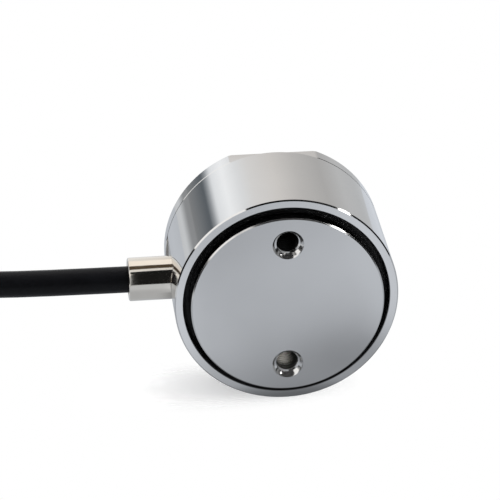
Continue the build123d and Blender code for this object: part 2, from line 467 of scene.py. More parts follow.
def pad_adhesive():
    """Pale adhesive pads under the board."""
    shades = ((0.6, 0.58, 0.52), (0.75, 0.73, 0.68))
    return clouded("pad_adhesive", (700.0, 3.0), shades, 0.7, (0.15, 0.00005))


def resistor_body():
    """Small dark resistors."""
    shades = ((0.012, 0.012, 0.014), (0.03, 0.03, 0.034))
    return clouded("resistor_body", (900.0, 2.0), shades, 0.4, (0.1, 0.00003))


def enamelled_copper():
    """Fine copper leads under clear enamel."""
    shades = ((0.5, 0.2, 0.08), (0.7, 0.32, 0.14))
    rough, relief = (0.2, 0.35), (0.1, 0.00003)
    return clouded("enamelled_copper", (1200.0, 2.0), shades, rough, relief, in_Metallic=1.0)


# Mesh helpers

def chain(bm, points):
    """New vertices, and an edge from each to the next."""
    verts = [bm.verts.new(p) for p in points]
    edges = [bm.edges.new(pair) for pair in zip(verts, verts[1:])]
    return verts, edges


def spin(bm, geom, centre, axis, angle, steps, rise=0.0, merge=False):
    bmesh.ops.spin(
        bm,
        geom=geom,
        cent=centre,
        axis=axis,
        dvec=(0, 0, rise),
        angle=angle,
        steps=steps,
        use_merge=merge,
        use_normal_flip=False,
        use_duplicate=False,
    )


def spin_profile(bm, points, centre=(0, 0, 0), axis=Z_AXIS, steps=192, closed=True):
    """Turns a chain of points round an axis. The points are given in metres."""
    verts, edges = chain(bm, points)
    if closed:
        edges.append(bm.edges.new((verts[-1], verts[0])))
    spin(bm, verts + edges, centre, axis, FULL_TURN, steps, merge=True)
    bmesh.ops.remove_doubles(bm, verts=bm.verts[:], dist=TOUCH)


def turn_about(bm, verts, degrees, axis):
    turn = Matrix.Rotation(math.radians(degrees), 3, axis)
    bmesh.ops.rotate(bm, verts=verts, cent=(0, 0, 0), matrix=turn)


def in_scene(name, data):
    obj = bpy.data.objects.new(name, data)
    bpy.context.scene.collection.objects.link(obj)
    return obj


def finished_object(name, bm, materials, sharp_angle=28.0):
    """Closes off a bmesh as an object of smooth faces with sharp corners kept."""
    bmesh.ops.recalc_face_normals(bm, faces=bm.faces[:])
    for face in bm.faces:
        face.smooth = True
    mesh = bpy.data.meshes.new(name)
    bm.to_mesh(mesh)
    bm.free()
    mesh.set_sharp_from_angle(angle=math.radians(sharp_angle))
    for mat in materials:
        mesh.materials.append(mat)
    obj = in_scene(name, mesh)
    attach(obj, "root")
    return obj


def paint_faces(bm, index, test):
    for face in bm.faces:
        if test(face.calc_center_median(), face.normal):
            face.material_index = index


def chamfer_edges(bm, edges, size, segments=1):
    bmesh.ops.bevel(
        bm,
        geom=edges,
        offset=size,
        offset_type="OFFSET",
        segments=segments,
        profile=0.5,
        affect="EDGES",
        clamp_overlap=True,
        material=-1,
    )


def chamfered_block(bm, size, place, chamfer, segments):
    """Adds a small moulded block with broken edges."""
    block = bmesh.ops.create_cube(bm, size=1.0)["verts"]
    bmesh.ops.scale(bm, verts=block, vec=size)
    bmesh.ops.translate(bm, verts=block, vec=place)
    edges = [e for e in bm.edges if e.verts[0] in block and e.verts[1] in block]
    chamfer_edges(bm, edges, chamfer, segments)


def smooth_step(t):
    t = min(1.0, max(0.0, t))
    return t * t * (3 - 2 * t)


def cord_object(name, lines, radius, mat, resolution, sides):
    """Round cords of one thickness on smooth NURBS lines. The points are in metres."""
    curve = bpy.data.curves.new(name, "CURVE")
    curve.dimensions = "3D"
    for points in lines:
        spline = curve.splines.new("NURBS")
        spline.points.add(len(points) - 1)
        for place, point in zip(spline.points, points):
            place.co = (*point, 1)
        spline.order_u = 3
        spline.use_endpoint_u = True
        spline.resolution_u = resolution
    curve.bevel_depth = radius
    curve.bevel_resolution = sides
    curve.use_fill_caps = True
    curve.materials.append(mat)
    obj = in_scene(name, curve)
    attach(obj, "root")
    return obj


def twisted_strands(along, strands, steps, twist, radius):
    """Lines of strands with so many turns of twist round a path along X."""
    lines = []
    for strand in range(strands):
        line = []
        for step in range(steps + 1):
            x, y, z = along(step / steps)
            a = FULL_TURN * (strand / strands + twist * step / steps)
            line.append((x, y + radius * math.cos(a), z + radius * math.sin(a)))
        lines.append(line)
    return lines


# Threads in the base

HOLE_MOUTH_RADIUS = 3.5 * MM
HOLE_DEPTH = 8.0 * MM


def cut_thread(bm, x, y, sizes):
    """One tapped blind hole that opens downwards at z = 0, with a countersunk mouth."""
    pitch = sizes.thread_pitch
    root = sizes.thread_diameter / 2
    crest = root - 0.5 * pitch
    turns = int(round(HOLE_DEPTH / pitch)) + 3
    steps = 72
    points = []
    for turn in range(turns):
        start = (turn - 2) * pitch
        for part, r in ((0.0, crest), (0.25, crest), (0.5625, root), (0.6875, root)):
            points.append((x + r, y, start + part * pitch))
    before = set(bm.verts)
    verts, edges = chain(bm, points)
    spin(bm, verts + edges, (x, y, 0), Z_AXIS, FULL_TURN, steps, rise=pitch / steps)
    mine = [v for v in bm.verts if v not in before]
    bmesh.ops.remove_doubles(bm, verts=mine, dist=TOUCH)
    mine = [v for v in bm.verts if v not in before]
    for v in mine:
        flat = Vector((v.co.x - x, v.co.y - y))
        wanted = max(flat.length, HOLE_MOUTH_RADIUS - max(0.0, v.co.z))
        flat = flat.normalized() * wanted
        v.co = (x + flat.x, y + flat.y, v.co.z)
    for height, side in ((0.0, -1), (HOLE_DEPTH, 1)):
        mine = {v for v in bm.verts if v not in before}
        geom = list(mine)
        geom += [e for e in bm.edges if e.verts[0] in mine]
        geom += [f for f in bm.faces if f.verts[0] in mine]
        bmesh.ops.bisect_plane(
            bm,
            geom=geom,
            dist=CUT_TOUCH,
            plane_co=(0, 0, height),
            plane_no=(0, 0, side),
            clear_outer=True,
        )
    floor_edges = [
        e
        for e in bm.edges
        if e.is_boundary
        and all(v not in before and abs(v.co.z - HOLE_DEPTH) < TOUCH for v in e.verts)
    ]
    bmesh.ops.holes_fill(bm, edges=floor_edges, sides=0)


# Operators that build the pieces

class BuildOperator:
    bl_options = {"REGISTER", "UNDO"}


class CELL_OT_core(BuildOperator, bpy.types.Operator):
    """Spring element: base boss with its threads, column, web, flange and load button"""

    bl_idname = "cell.build_core"
    bl_label = "Build Core"

    def execute(self, context):
        s = context.scene.cell_sizes
        look = context.scene.cell_finish
        bm = bmesh.new()
        points = [(r, 0, z) for r, z in self.profile(s)]
        spin_profile(bm, points, steps=256, closed=False)
        self.cut_flat(bm)
        holes = [Vector((0, side * s.hole_spacing / 2)) for side in (-1, 1)]
        for hole in holes:
            cut_thread(bm, hole.x, hole.y, s)
        rim = [e for e in bm.edges if e.is_boundary and all(abs(v.co.z) < TOUCH for v in e.verts)]
        bmesh.ops.triangle_fill(bm, use_beauty=True, use_dissolve=False, edges=rim)
        bmesh.ops.recalc_face_normals(bm, faces=bm.faces[:])
        boss = s.boss_diameter / 2
        hole_top = 8.1 * MM
        hole_reach = 3.6 * MM
        paint_faces(bm, 1, lambda c, n: c.z < 0.4 * MM and Vector((c.x, c.y)).length < boss)
        paint_faces(
            bm,
            2,
            lambda c, n: TOUCH < c.z < hole_top
            and min((Vector((c.x, c.y)) - h).length for h in holes) < hole_reach,
        )
        paint_faces(bm, 1, lambda c, n: c.z > 28.5 * MM and n.z > 0.5)
        mats = [polished_steel(look), ground_steel(look), hole_steel(look)]
        obj = finished_object("cell_core", bm, mats)
        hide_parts("spring_element")
        return {"FINISHED"}

    def profile(self, s):
        """Half section from the boss's edge up to the crown of the load button, in metres."""
        edge = s.edge_break
        boss = s.boss_diameter / 2
        body = s.body_diameter / 2
        bore = s.barrel_bore / 2
        groove = boss - 0.9 * MM
        column = 12.0 * MM
        shoulder = s.seam_height - 3.0 * MM
        wall = 19.0 * MM
        top = 30.0 * MM
        points = [
            (boss - edge, 0.0),
            (boss, edge),
            (boss, 4.8 * MM),
            (groove, 4.8 * MM),
            (groove, 7.6 * MM),
            (boss, 7.6 * MM),
            (boss, 9.5 * MM),
            (column, 9.5 * MM),
            (column, 27.0 * MM),
            (wall, 27.0 * MM),
            (wall, shoulder),
            (bore, shoulder),
            (bore, s.seam_height),
            (body - 0.15 * MM, s.seam_height),
            (body, s.seam_height + 0.15 * MM),
            (body, top - edge),
            (body - edge, top),
            (19.2 * MM, top),
            (wall, 29.8 * MM),
            (wall, 29.3 * MM),
            (18.7 * MM, 29.0 * MM),
            (7.9 * MM, 29.0 * MM),
            (7.5 * MM, 29.4 * MM),
        ]
        crown_r = 40.0 * MM
        crown_base = 33.0 * MM - crown_r
        crown_edge = 7.2 * MM
        rim_z = crown_base + math.sqrt(crown_r**2 - crown_edge**2)
        points += [(7.5 * MM, rim_z - 0.3 * MM), (7.42 * MM, rim_z - 0.08 * MM)]
        for part in (1.0, 0.8, 0.6, 0.4, 0.2, 0.0):
            r = crown_edge * part
            points.append((r, crown_base + math.sqrt(crown_r**2 - r**2)))
        return points

    def cut_flat(self, bm):
        """The small orientation flat on the flange."""
        cut = bmesh.ops.bisect_plane(
            bm,
            geom=bm.verts[:] + bm.edges[:] + bm.faces[:],
            dist=CUT_TOUCH,
            plane_co=(0, 22.9 * MM, 0),
            plane_no=(0, 1, 0),
            clear_outer=True,
        )
        edges = [g for g in cut["geom_cut"] if isinstance(g, bmesh.types.BMEdge)]
        bmesh.ops.holes_fill(bm, edges=edges, sides=0)


class CELL_OT_housing(BuildOperator, bpy.types.Operator):
    """Polished barrel with its broken rim and the milled seat under the fitting"""

    bl_idname = "cell.build_housing"
    bl_label = "Build Housing"

    def execute(self, context):
        s = context.scene.cell_sizes
        look = context.scene.cell_finish
        body = s.body_diameter / 2
        bore = s.barrel_bore / 2
        edge = s.edge_break
        low = s.rim_height
        seat = 24.4 * MM
        seat_bottom = 10.4 * MM
        marked = body + 1e-5
        profile = [
            (bore, low + 0.1 * MM),
            (bore + 0.1 * MM, low),
            (body - edge, low),
            (body, low + edge),
            (body, seat_bottom),
            (marked, seat_bottom),
            (marked, s.seam_height - 0.15 * MM),
            (body - 0.15 * MM, s.seam_height),
            (bore, s.seam_height),
        ]
        bm = bmesh.new()
        spin_profile(bm, [(r, 0, z) for r, z in profile], steps=320)
        for v in bm.verts:
            r = math.hypot(v.co.x, v.co.y)
            on_seat_side = r > (body + marked) / 2
            if on_seat_side:
                v.co.x *= body / r
                v.co.y *= body / r
            if v.co.x > seat and (on_seat_side or v.co.z > s.seam_height - TOUCH):
                v.co.x = seat
        bmesh.ops.remove_doubles(bm, verts=bm.verts[:], dist=TOUCH)
        bmesh.ops.recalc_face_normals(bm, faces=bm.faces[:])
        paint_faces(bm, 1, lambda c, n: abs(c.z - low) < TOUCH)
        paint_faces(bm, 2, lambda c, n: n.x > 0.99 and abs(c.x - seat) < 2e-5)
        rim = ground_steel(look, "faced_rim", 1.17)
        obj = finished_object("cell_housing", bm, [polished_steel(look), rim, cut_steel(look)])
        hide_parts("housing_sleeve")
        return {"FINISHED"}


class CELL_OT_seal(BuildOperator, bpy.types.Operator):
    """Rubber ring in the gap between the boss and the barrel"""

    bl_idname = "cell.build_seal"
    bl_label = "Build Seal"

    def execute(self, context):
        low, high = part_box("seal_ring")
        section = (high.z - low.z) / 2
        centre_r = high.x - section
        centre_z = (high.z + low.z) / 2
        points = []
        for step in range(24):
            a = FULL_TURN * step / 24
            points.append((centre_r + section * math.cos(a), 0, centre_z + section * math.sin(a)))
        bm = bmesh.new()
        spin_profile(bm, points, steps=160)
        obj = finished_object("cell_seal", bm, [black_rubber()])
        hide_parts("seal_ring")
        return {"FINISHED"}


# Half sections of the cable fitting in millimetres, along its axis and away from it
FITTING_HEIGHT = 16.0
FERRULE_PROFILE = (
    (21.6, 3.7), (21.6, 4.0), (24.4, 4.0), (24.4, 4.9), (33.95, 4.9),
    (34.15, 4.82), (34.3, 4.6), (34.3, 4.1), (34.1, 3.8), (33.9, 3.7),
)
BUSH_PROFILE = (
    (21.6, 3.02), (21.6, 3.68), (33.5, 3.68), (33.65, 3.6), (33.7, 3.45),
    (33.65, 3.15), (33.5, 3.04),
)


class CELL_OT_fitting(BuildOperator, bpy.types.Operator):
    """Plated ferrule and the rubber bush in its mouth"""

    bl_idname = "cell.build_fitting"
    bl_label = "Build Fitting"

    def execute(self, context):
        plate = nickel_plate(context.scene.cell_finish)
        ferrule = self.turned_piece("cell_ferrule", FERRULE_PROFILE, 128, plate)
        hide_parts("cable_ferrule")
        bush = self.turned_piece("cell_bush", BUSH_PROFILE, 96, black_rubber())
        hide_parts("cable_bush")
        return {"FINISHED"}

    def turned_piece(self, name, profile, steps, mat):
        bm = bmesh.new()
        points = [(x * MM, 0, (FITTING_HEIGHT + r) * MM) for x, r in profile]
        spin_profile(bm, points, (0, 0, FITTING_HEIGHT * MM), X_AXIS, steps)
        return finished_object(name, bm, [mat])


# The cable's free part, from its inner end to the hank, in millimetres
CABLE_ROUTE = [
    (19.0, 0.0, 16.0),
    (46.0, 0.0, 16.0),
    (73.0, 0.9, 15.8),
    (88.0, 6.8, 11.2),
    (101.8, 12.9, 5.4),
    (111.5, 17.2, 3.4),
]
HANK_NEAR = (127.0, -2.0)
HANK_STRAIGHT = 58.0
LANE_OUTER = 24.0
LANE_INNER = 18.0
HANK_START_ANGLE = math.radians(129.0)
HANK_POINTS_PER_TURN = 28
HANK_FIRST_TURN = 0.035
HANK_TURNS = 7.0576
# A smooth line through points on an arc runs inside it by this share of the radius
ARC_SHRINK = 0.978
# Where the cable changes its lane: turns done, shift outwards and rise
LANE_CHANGES = (
    (0.90, -6, 0),
    (1.80, 0, 6),
    (2.70, 6, 0),
    (3.60, 0, 6),
    (4.50, -6, 0),
    (5.40, 0, 6),
    (6.30, 6, 0),
)
LANE_CHANGE_LENGTH = 0.09


def hank_point(turns):
    """A point of the wound cable after so many turns round the hank, in millimetres."""
    mid = (LANE_OUTER + LANE_INNER) / 2
    first = mid * (HANK_START_ANGLE - math.pi / 2)
    end_arc = math.pi * mid
    loop = 2 * HANK_STRAIGHT + 2 * end_arc
    lane = LANE_OUTER
    height = 3.0
    for start, shift, rise in LANE_CHANGES:
        part = smooth_step((turns - start) / LANE_CHANGE_LENGTH)
        lane += shift * part
        height += rise * part
    way = (turns % 1.0) * loop
    near_x, mid_y = HANK_NEAR
    far_x = near_x + HANK_STRAIGHT
    swell = lane / ARC_SHRINK

    def on_end(x, a):
        return (x + swell * math.cos(a), mid_y + swell * math.sin(a), height)

    if way < first:
        return on_end(near_x, HANK_START_ANGLE - way / mid)
    way -= first
    if way < HANK_STRAIGHT:
        return (near_x + way, mid_y + lane, height)
    way -= HANK_STRAIGHT
    if way < end_arc:
        return on_end(far_x, math.pi / 2 - way / mid)
    way -= end_arc
    if way < HANK_STRAIGHT:
        return (far_x - way, mid_y - lane, height)
    way -= HANK_STRAIGHT
    return on_end(near_x, 1.5 * math.pi - way / mid)


class CELL_OT_cable(BuildOperator, bpy.types.Operator):
    """The whole cable as one cord: free part, hank, and the stripped end on it"""

    bl_idname = "cell.build_cable"
    bl_label = "Build Cable"

    def execute(self, context):
        s = context.scene.cell_sizes
        look = context.scene.cell_finish
        points = list(CABLE_ROUTE)
        span = HANK_TURNS - HANK_FIRST_TURN
        count = int(span * HANK_POINTS_PER_TURN)
        for step in range(count + 1):
            points.append(hank_point(HANK_FIRST_TURN + span * step / count))
        points_m = [tuple(c * MM for c in p) for p in points]
        radius = s.cable_diameter / 2
        cord = cord_object("cell_cable", [points_m], radius, cable_jacket(look), 4, 6)
        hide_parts("cable", "cable_hank")
        extras = self.stripped_end() + self.ties()
        return {"FINISHED"}

    def stripped_end(self):
        """Shrink sleeve, four wires with tinned tips and the twisted screen."""
        low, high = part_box("end_sleeve")
        mid_y, mid_z = (low.y + high.y) / 2, (low.z + high.z) / 2
        centre = ((low.x + high.x) / 2, mid_y, mid_z)
        r = (high.y - low.y) / 2
        profile = [
            (low.x, 0),
            (low.x, r * 0.92),
            (low.x + 0.3 * MM, r * 0.99),
            (low.x + 4.0 * MM, r),
            (high.x - 4.0 * MM, r * 0.99),
            (high.x - 1.6 * MM, r * 0.93),
            (high.x - 0.5 * MM, r * 0.78),
            (high.x, r * 0.68),
            (high.x - 0.3 * MM, r * 0.5),
            (high.x - 0.6 * MM, 0),
        ]
        bm = bmesh.new()
        points = [(x, mid_y, mid_z + h) for x, h in profile]
        spin_profile(bm, points, centre, X_AXIS, 64, closed=False)
        sleeve = finished_object("end_sleeve_skin", bm, [shrink_sleeve()], 50.0)
        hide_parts("end_sleeve")
        made = [sleeve]
        tin = tinned_copper()
        start_x = high.x
        wire_r = 0.6 * MM
        for place, (name, colour) in zip((-1.5, -0.5, 0.5, 1.5), WIRE_COLOURS.items()):
            near_y = mid_y + place * 1.2 * MM
            far_y = mid_y + place * 1.7 * MM
            floor_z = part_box("end_wire_" + name)[0].z + wire_r
            route = [
                (start_x - 0.8 * MM, near_y, mid_z),
                (start_x + 7.8 * MM, near_y, mid_z - 0.3 * MM),
                (start_x + 18.2 * MM, far_y, floor_z + 0.3 * MM),
                (start_x + 26.0 * MM, far_y, floor_z),
            ]
            finish = wire_plastic("wire_" + name, colour)
            wire = cord_object("end_wire_skin_" + name, [route], wire_r, finish, 12, 5)
            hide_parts("end_wire_" + name)
            tip = self.tip("end_tip_strands_" + name, route[-1], tin)
            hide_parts("end_tip_" + name)
            made += [wire, tip]
        screen = self.screen(start_x, mid_y, mid_z, tin)
        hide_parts("end_screen")
        return made + [screen]

    def tip(self, name, start, mat):
        """A short twist of tinned strands that runs along +X."""
        x, y, z = start
        x -= 0.4 * MM
        lines = twisted_strands(lambda t: (x + 6.4 * MM * t, y, z), 5, 15, 1.2, 0.2 * MM)
        return cord_object(name, lines, 0.17 * MM, mat, 2, 2)

    def screen(self, start_x, mid_y, mid_z, mat):
        """The cable's screen, twisted to one pigtail that lies on the wires."""
        low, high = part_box("end_screen")
        run = [
            Vector((start_x - 0.8 * MM, mid_y, mid_z + 1.3 * MM)),
            Vector((start_x + 8.0 * MM, mid_y, mid_z + 1.2 * MM)),
            Vector((start_x + 18.2 * MM, mid_y + 0.6 * MM, low.z + 1.3 * MM)),
            Vector((high.x, mid_y + 0.2 * MM, low.z + 0.78 * MM)),
        ]

        def along(t):
            pos = run[0] * (1 - t) ** 3
            pos += run[1] * 3 * t * (1 - t) ** 2
            pos += run[2] * 3 * t * t * (1 - t)
            return pos + run[3] * t**3

        strand_r = 0.36 * MM
        lines = twisted_strands(along, 3, 35, 4.5, strand_r)
        return cord_object("end_screen_twist", lines, strand_r, mat, 2, 2)

    def ties(self):
        """Two nylon ties with their heads on the inner side of the hank."""
        nylon = tie_nylon()
        made = []
        for node in ("hank_tie_1", "hank_tie_2"):
            low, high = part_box(node)
            bm = bmesh.new()
            outer = self.band_outline(bm, low, high, 0.0, 3.0 * MM)
            inner = self.band_outline(bm, low, high, 1.2 * MM, 0.4 * MM)
            bmesh.ops.bridge_loops(bm, edges=outer + inner)
            out = bmesh.ops.extrude_face_region(bm, geom=bm.faces[:])
            moved = [g for g in out["geom"] if isinstance(g, bmesh.types.BMVert)]
            bmesh.ops.translate(bm, verts=moved, vec=(high.x - low.x, 0, 0))
            sides = [e for e in bm.edges if e.calc_face_angle(0.0) > math.radians(60)]
            chamfer_edges(bm, sides, 0.15 * MM, 2)
            mid_x, mid_z = (low.x + high.x) / 2, (low.z + high.z) / 2
            head_size = (5.6 * MM, 3.6 * MM, 5.0 * MM)
            head_place = (mid_x, high.y + 1.2 * MM, mid_z)
            chamfered_block(bm, head_size, head_place, 0.5 * MM, 3)
            tail_size = (3.6 * MM, 1.0 * MM, 2.6 * MM)
            tail_place = (mid_x, high.y + 1.6 * MM, mid_z + 3.6 * MM)
            chamfered_block(bm, tail_size, tail_place, 0.15 * MM, 1)
            tie = finished_object(node + "_strap", bm, [nylon], 35.0)
            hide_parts(node)
            made.append(tie)
        return made

    def band_outline(self, bm, low, high, inset, corner):
        """Rounded outline of a tie's band, and the edges round it."""
        far = inset + corner
        loop = []
        for y, z, start in (
            (high.y - far, high.z - far, 0.0),
            (low.y + far, high.z - far, 0.5 * math.pi),
            (low.y + far, low.z + far, math.pi),
            (high.y - far, low.z + far, 1.5 * math.pi),
        ):
            for step in range(7):
                a = start + 0.5 * math.pi * step / 6
                loop.append((low.x, y + corner * math.cos(a), z + corner * math.sin(a)))
        verts, edges = chain(bm, loop)
        return edges + [bm.edges.new((verts[-1], verts[0]))]


class CELL_OT_inner_parts(BuildOperator, bpy.types.Operator):
    """Finishes of the sealed inner parts, which keep their own shapes"""

    bl_idname = "cell.finish_inner_parts"
    bl_label = "Finish Inner Parts"

    def execute(self, context):
        look = context.scene.cell_finish
        finishes = {"bridge_board": solder_mask(), "cable_clip": nickel_plate(look)}
        for stem, count, mat in (
            ("strain_gauge_", 4, gauge_film()),
            ("gauge_tabs_", 4, tinned_copper()),
            ("gauge_leads_", 4, enamelled_copper()),
            ("board_pad_", 4, pad_adhesive()),
            ("trim_resistor_", 3, resistor_body()),
        ):
            for index in range(1, count + 1):
                finishes[stem + str(index)] = mat
        for name, colour in WIRE_COLOURS.items():
            finishes["inner_wire_" + name] = wire_plastic("inner_" + name, colour)
        for node, mat in finishes.items():
            slots = NODES[node].material_slots
            if not slots:
                raise RuntimeError(node + " has no material slot")
            for slot in slots:
                slot.material = mat
        return {"FINISHED"}


# Studio

# Bands of the soft boxes and flags: direction in degrees, level, and share of blue added
PANEL_BANDS = (
    (0, 0.31, 0.03), (8, 0.26, 0.06), (21, 0.155, 0.13), (26, 0.45, 0.06),
    (32, 1.10, 0.03), (45, 1.28, 0.02), (60, 1.06, 0.02), (72, 0.97, -0.01),
    (96, 0.87, -0.03), (120, 0.69, -0.02), (146, 0.58, -0.01), (170, 0.67, 0.01),
    (192, 0.62, 0.02), (207, 0.65, 0.03), (219, 0.80, 0.05), (231, 1.02, 0.06),
    (243, 0.92, 0.04), (257, 1.25, 0.0), (300, 0.90, 0.0), (318, 0.77, 0.02),
    (330, 0.71, 0.02), (344, 0.82, 0.03), (353, 0.38, 0.03),
)
PANEL_PROFILE = ((0.16, 0, 0.47), (0.30, 0, 0.40), (0.47, 0, 0.17), (0.49, 0, -0.15))
# Levels of the mirrored table, from the contact outwards: a painted contact shadow, darkest at the
# contact
TABLE_SHADOW_LEVELS = (
    (0.0, 0.17), (0.025, 0.25), (0.05, 0.40), (0.14, 0.47),
    (0.28, 0.60), (0.46, 0.70), (0.9, 0.66),
)
# The table that the barrel would lie on, as it is seen and as the base mirrors it
SIDE_TABLE_Y = -0.0251
MIRRORED_TABLE_Y = -0.0252
# Curved cards round the object: colour, strength, and arcs with the start and the sweep in
# degrees and the places, away from the middle and up
CARDS = {
    "dark_room": (
        (0.9, 0.95, 1.0),
        0.012,
        (64, 76, (0.455, -0.160), (0.38, -0.29)),
        (124, 66, (0.455, 0.015), (0.38, -0.29)),
        (346, 29, (0.46, -0.075), (0.44, -0.18)),
    ),
    "brown_flag": ((1.0, 0.75, 0.5), 0.09, (56, 84, (0.40, -0.048), (0.38, 0.096))),
    "grey_bowl": ((0.97, 1.0, 1.03), 0.55, (0, 360, (0.38, -0.29), (0.22, -0.448), (0.0, -0.5))),
    "glint_card": ((1.0, 0.99, 0.97), 1.35, (15, 49, (0.44, -0.10), (0.40, -0.27))),
    "cream_card": ((1.0, 0.95, 0.90), 1.22, (56, 84, (0.38, 0.096), (0.36, 0.20), (0.26, 0.31))),
}
FERRULE_FLAG_ARC = (-3, 57, (0.090, 0.010), (0.090, 0.062))


def seen_rays(tree):
    """1 for what is seen, also in a mirror or through glass, and 0 for plain lighting."""
    path = add_node(tree, "LightPath")
    seen = calc(tree, "MAXIMUM", path.outputs["Is Camera Ray"], path.outputs["Is Glossy Ray"])
    return calc(tree, "MAXIMUM", seen, path.outputs["Is Transmission Ray"])


def mixed_shader(tree, share, first, second):
    mix = add_node(tree, "MixShader")
    for target, value in zip(mix.inputs, (share, first, second)):
        tree.links.new(value, target)
    return mix.outputs[0]


def glow_material(tree, colour, strength=1.0):
    glow = add_node(tree, "Emission", in_Color=colour, in_Strength=strength)
    show(tree, glow.outputs[0])


def one_sided_white(name, glow, fade=None):
    """Pale surface that shows its front only, and lets light through from behind."""
    mat, tree = new_material(name)
    paint = add_node(tree, "BsdfDiffuse", in_Color=(0.86, 0.86, 0.86))
    power = calc(tree, "MULTIPLY", seen_rays(tree), glow)
    light = add_node(tree, "Emission", in_Strength=power)
    front = add_node(tree, "AddShader")
    tree.links.new(paint.outputs[0], front.inputs[0])
    tree.links.new(light.outputs[0], front.inputs[1])
    clear = add_node(tree, "BsdfTransparent")
    hide = add_node(tree, "NewGeometry").outputs["Backfacing"]
    if fade is not None:
        centre, inner, outer, squeeze = fade
        place = object_coords(tree, (1, 1, squeeze))
        away = distance_to(tree, place, (centre[0], centre[1], centre[2] * squeeze))
        path = add_node(tree, "LightPath")
        edge = product(tree, smooth_range(tree, away, inner, outer), path.outputs["Is Camera Ray"])
        hide = calc(tree, "MAXIMUM", hide, edge)
    show(tree, mixed_shader(tree, hide, front.outputs[0], clear.outputs[0]))
    return mat


def studio_panel_material():
    """Soft boxes and grey flags round the object, set out by their direction."""
    mat, tree = new_material("studio_panels")
    x, y = split_place(tree, object_coords(tree))[:2]
    angle = calc(tree, "ARCTAN2", y, x)
    way_round = calc(tree, "FRACT", calc(tree, "DIVIDE", angle, FULL_TURN))
    stops = []
    for degrees, level, cool in PANEL_BANDS:
        stops.append((degrees / 360, (level * (1 - cool), level, level * (1 + cool))))
    glow_material(tree, ramp(tree, way_round, stops))
    return mat


def table_in_reflections():
    """Glowing card for the white table as the base mirrors it, with painted shade: dark at the
    contact, paler away from it, with painted darker and lighter spots.
    """
    mat, tree = new_material("table_in_reflections")
    place = object_coords(tree)
    x, _, z = split_place(tree, place)
    reach = spread(tree, z, 0.0, 1.0, 0.0, -0.1)
    near = ramp(tree, reach, [(at, (level, level, level)) for at, level in TABLE_SHADOW_LEVELS])
    across = calc(tree, "ABSOLUTE", calc(tree, "ADD", x, 0.004))
    sides = smooth_range(tree, across, 0.017, 0.027, 1.0, 1.22)
    # Painted shade and light: darker and lighter spots on the table card
    painted_spots = []
    for spot_x, spot_z, inner, outer, level in (
        (-0.016, -0.022, 0.003, 0.016, 0.80),
        (0.004, -0.086, 0.008, 0.028, 0.88),
        (-0.014, -0.070, 0.006, 0.024, 1.11),
    ):
        away = distance_to(tree, place, (spot_x, MIRRORED_TABLE_Y, spot_z))
        painted_spots.append(smooth_range(tree, away, inner, outer, level, 1.0))
    close = smooth_range(tree, z, -0.045, -0.025)
    lean = smooth_range(tree, x, 0.0, 0.013, -0.06, 0.15)
    leaning = calc(tree, "MULTIPLY_ADD", close, lean, 1.0)
    front = product(tree, near, sides, leaning, *painted_spots)
    beside = smooth_range(tree, z, -0.045, -0.005, 0.70, 0.56)
    left = smooth_range(tree, x, 0.030, 0.060, 0.57, 0.69)
    right = smooth_range(tree, x, -0.056, -0.036, 1.34, 1.0)
    past = smooth_range(tree, z, 0.010, 0.040)
    outer_part = mixed(tree, "FLOAT", past, beside, product(tree, left, right))
    beyond = smooth_range(tree, across, 0.023, 0.034)
    level = mixed(tree, "FLOAT", beyond, front, outer_part)
    glow_material(tree, (0.957, 1.005, 1.075), level)
    return mat


def stage_mesh(name, bm, mat):
    mesh = bpy.data.meshes.new(name)
    bm.to_mesh(mesh)
    bm.free()
    mesh.materials.append(mat)
    obj = in_scene(name, mesh)
    return obj


def hide_from(obj, *rays):
    for ray in rays:
        setattr(obj, "visible_" + ray, False)


def only_in_reflections(obj):
    hide_from(obj, "camera", "diffuse", "shadow", "transmission", "volume_scatter")


def flat_sheet(width, depth, place, upright=False):
    """A level sheet, or one on edge that faces +Y."""
    bm = bmesh.new()
    bmesh.ops.create_grid(bm, x_segments=1, y_segments=1, size=0.5)
    bmesh.ops.scale(bm, verts=bm.verts[:], vec=(width, depth, 1.0))
    if upright:
        turn_about(bm, bm.verts[:], -90, "X")
    bmesh.ops.translate(bm, verts=bm.verts[:], vec=place)
    return bm


def arc_of_points(bm, start, sweep, *places):
    """Sweeps a chain of places round the Z axis, from one angle over another, in degrees."""
    verts, edges = chain(bm, [(reach, 0, height) for reach, height in places])
    turn_about(bm, verts, start, "Z")
    spin(bm, verts + edges, (0, 0, 0), Z_AXIS, math.radians(sweep), 48)


def mirrored_card(name, colour, strength, bm):
    """A plain glowing card that shows in reflections only."""
    mat, tree = new_material(name)
    glow_material(tree, colour, strength)
    only_in_reflections(stage_mesh(name, bm, mat))


def aimed_lamp(name, kind, place, target, power):
    """A lamp that looks at its target and doesn't show itself."""
    data = bpy.data.lights.new(name, kind)
    data.energy = power
    lamp = in_scene(name, data)
    lamp.location = place
    aim = Vector(target) - Vector(place)
    lamp.rotation_mode = "QUATERNION"
    lamp.rotation_quaternion = aim.to_track_quat("-Z", "Y")
    hide_from(lamp, "camera", "glossy")
    return lamp, aim.length


def soft_lamp(name, place, target, size, power):
    lamp = aimed_lamp(name, "AREA", place, target, power)[0]
    lamp.data.shape = "DISK"
    lamp.data.size = size


def hole_lamp(name, place, target, width, power, radius=0.004):
    """Narrow beam into one hole of the base."""
    lamp, distance = aimed_lamp(name, "SPOT", place, target, power)
    lamp.data.spot_size = 2.0 * math.atan(0.5 * width / distance)
    lamp.data.spot_blend = 0.4
    lamp.data.shadow_soft_size = radius
    return lamp


